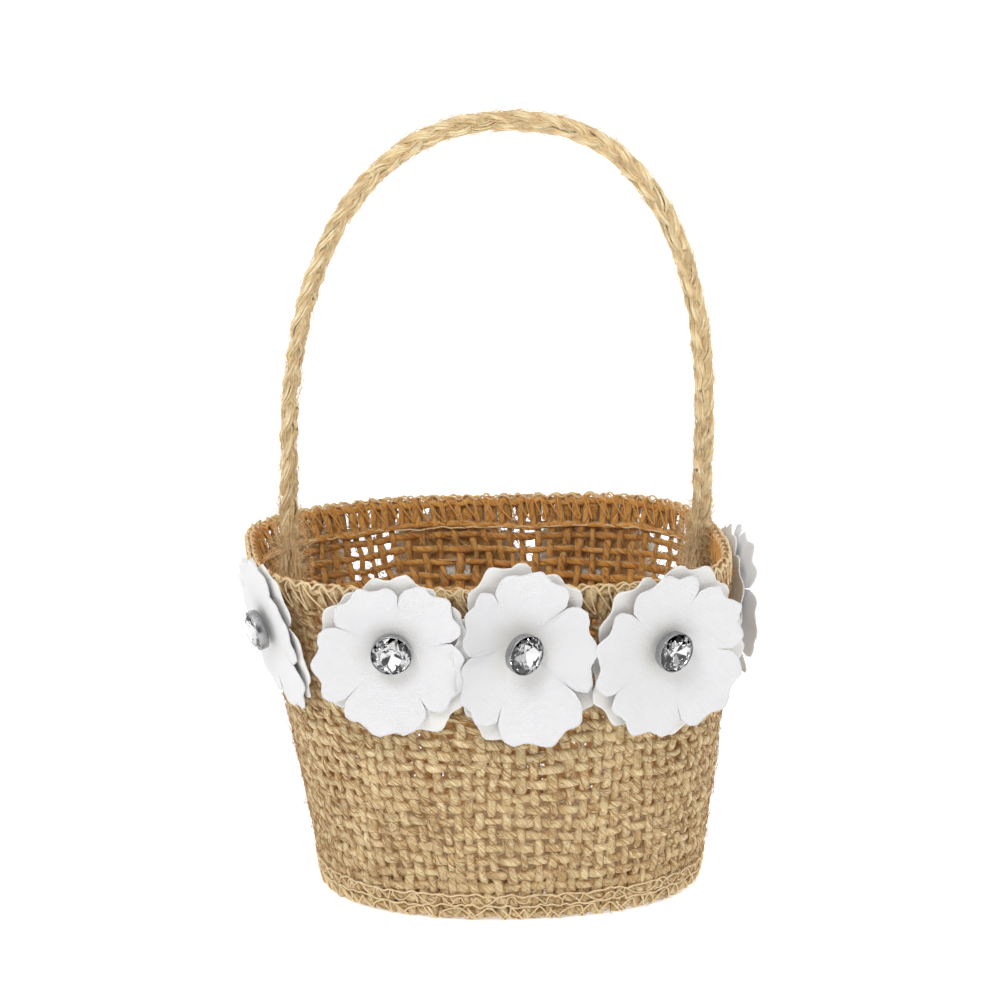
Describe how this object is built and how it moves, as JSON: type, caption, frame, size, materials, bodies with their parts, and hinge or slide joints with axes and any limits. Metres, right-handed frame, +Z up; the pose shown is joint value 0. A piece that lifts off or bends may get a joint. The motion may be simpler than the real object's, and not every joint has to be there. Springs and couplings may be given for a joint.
{
  "type": "flower girl basket",
  "caption": "Small burlap flower girl basket with an arched plaited jute handle, serged edges and white cloth flowers with clear faceted stones round the rim",
  "frame": {"origin": "centre of the footprint of the whole basket, on the table", "axes": "+Z up; +X along the long side of the mouth, to the right of somebody who faces the front; the front row of flowers faces -Y; the arch of the handle lies in an XZ plane"},
  "size_m": [0.1225, 0.1069, 0.1751],
  "materials": {
    "wall_burlap": "loose plain-weave jute burlap",
    "base_burlap": "loose plain-weave jute burlap",
    "card": "white uncoated card",
    "thread": "spun polyester sewing thread",
    "jute": "hairy spun jute twine",
    "wire": "soft galvanised florist's wire",
    "glue": "hot-melt glue",
    "petals": "stiffened white woven polyester",
    "setting": "bright plated cup",
    "stone": "foil-backed faceted glass"
  },
  "bodies": {
    "root": {"wall_burlap": "wall_burlap", "side_seam_allowance": "wall_burlap", "side_seam_thread": "thread", "base_burlap": "base_burlap", "base_card": "card", "rim_serging_thread": "thread", "rim_straight_stitches": "thread", "base_serging_thread": "thread", "base_straight_stitches": "thread", "handle_wire": "wire", "handle_strand_1": "jute", "handle_strand_2": "jute", "handle_strand_3": "jute", "handle_frayed_foot_left": "jute", "handle_frayed_foot_right": "jute", "handle_stitches_left": "thread", "handle_stitches_right": "thread", "flower_glue_dots": "glue", "front_left_flower_lower_petals": "petals", "front_left_flower_upper_petals": "petals", "front_left_flower_stone_setting": "setting", "front_left_flower_stone": "stone", "front_middle_flower_lower_petals": "petals", "front_middle_flower_upper_petals": "petals", "front_middle_flower_stone_setting": "setting", "front_middle_flower_stone": "stone", "front_right_flower_lower_petals": "petals", "front_right_flower_upper_petals": "petals", "front_right_flower_stone_setting": "setting", "front_right_flower_stone": "stone", "right_side_flower_lower_petals": "petals", "right_side_flower_upper_petals": "petals", "right_side_flower_stone_setting": "setting", "right_side_flower_stone": "stone", "back_right_flower_lower_petals": "petals", "back_right_flower_upper_petals": "petals", "back_right_flower_stone_setting": "setting", "back_right_flower_stone": "stone", "back_middle_flower_lower_petals": "petals", "back_middle_flower_upper_petals": "petals", "back_middle_flower_stone_setting": "setting", "back_middle_flower_stone": "stone", "back_left_flower_lower_petals": "petals", "back_left_flower_upper_petals": "petals", "back_left_flower_stone_setting": "setting", "back_left_flower_stone": "stone", "left_side_flower_lower_petals": "petals", "left_side_flower_upper_petals": "petals", "left_side_flower_stone_setting": "setting", "left_side_flower_stone": "stone"}
  },
  "joints": []
}
